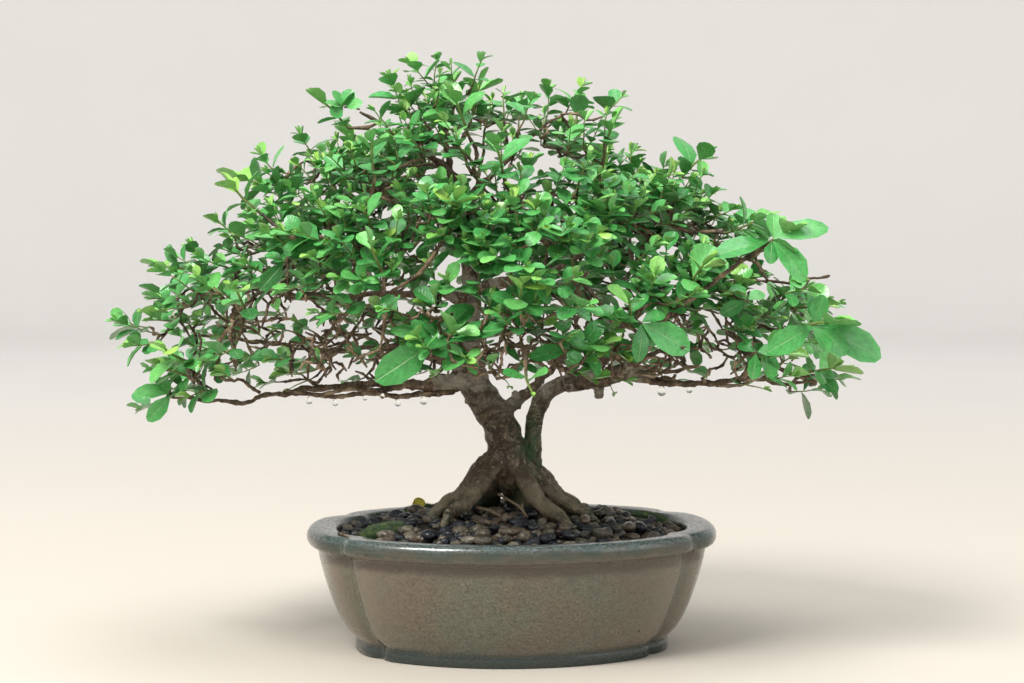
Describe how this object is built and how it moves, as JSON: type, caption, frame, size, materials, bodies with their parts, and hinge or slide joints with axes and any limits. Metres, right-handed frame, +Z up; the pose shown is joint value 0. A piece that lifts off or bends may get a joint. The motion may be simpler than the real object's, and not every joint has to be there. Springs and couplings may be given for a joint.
{
  "type": "night-blooming jasmine bonsai",
  "caption": "Small shrub bonsai with a leaning trunk, spreading surface roots and a domed crown of glossy leaves, in an oval glazed pot of gravel-topped soil.",
  "frame": {"origin": "under the middle of the whole object's box, on the surface that the pot stands on", "axes": "+Z up, +X to the right along the oval pot's length, -Y towards the viewer"},
  "size_m": [0.4364, 0.3242, 0.3457],
  "materials": {
    "glaze": "speckled grey-green satin glaze, darker and greener at the rim and foot",
    "mesh": "plain woven plastic",
    "soil": "dark moist crumbs",
    "gravel": "wet rounded pebbles",
    "moss": "soft moss",
    "bark": "rough damp bark",
    "leaf": "glossy wet leaf",
    "water": "clear drops"
  },
  "bodies": {
    "root": {"pot": "glaze", "drain_mesh_left": "mesh", "drain_mesh_right": "mesh", "soil": "soil", "gravel": "gravel", "moss_front_left": "moss", "moss_right": "moss", "moss_back_left": "moss", "wood": "bark", "shoot_01": "leaf", "shoot_02": "leaf", "shoot_03": "leaf", "shoot_04": "leaf", "shoot_05": "leaf", "shoot_06": "leaf", "shoot_07": "leaf", "shoot_08": "leaf", "shoot_09": "leaf", "shoot_10": "leaf", "shoot_11": "leaf", "shoot_12": "leaf", "shoot_13": "leaf", "shoot_14": "leaf", "shoot_15": "leaf", "shoot_16": "leaf", "shoot_17": "leaf", "shoot_18": "leaf", "shoot_19": "leaf", "shoot_20": "leaf", "shoot_21": "leaf", "shoot_22": "leaf", "shoot_23": "leaf", "shoot_24": "leaf", "shoot_25": "leaf", "shoot_26": "leaf", "shoot_27": "leaf", "shoot_28": "leaf", "shoot_29": "leaf", "shoot_30": "leaf", "shoot_31": "leaf", "shoot_32": "leaf", "shoot_33": "leaf", "shoot_34": "leaf", "shoot_35": "leaf", "shoot_36": "leaf", "shoot_37": "leaf", "shoot_38": "leaf", "shoot_39": "leaf", "shoot_40": "leaf", "shoot_41": "leaf", "shoot_42": "leaf", "shoot_43": "leaf", "shoot_44": "leaf", "shoot_45": "leaf", "shoot_46": "leaf", "shoot_47": "leaf", "shoot_48": "leaf", "shoot_49": "leaf", "shoot_50": "leaf", "shoot_51": "leaf"}
  },
  "joints": []
}
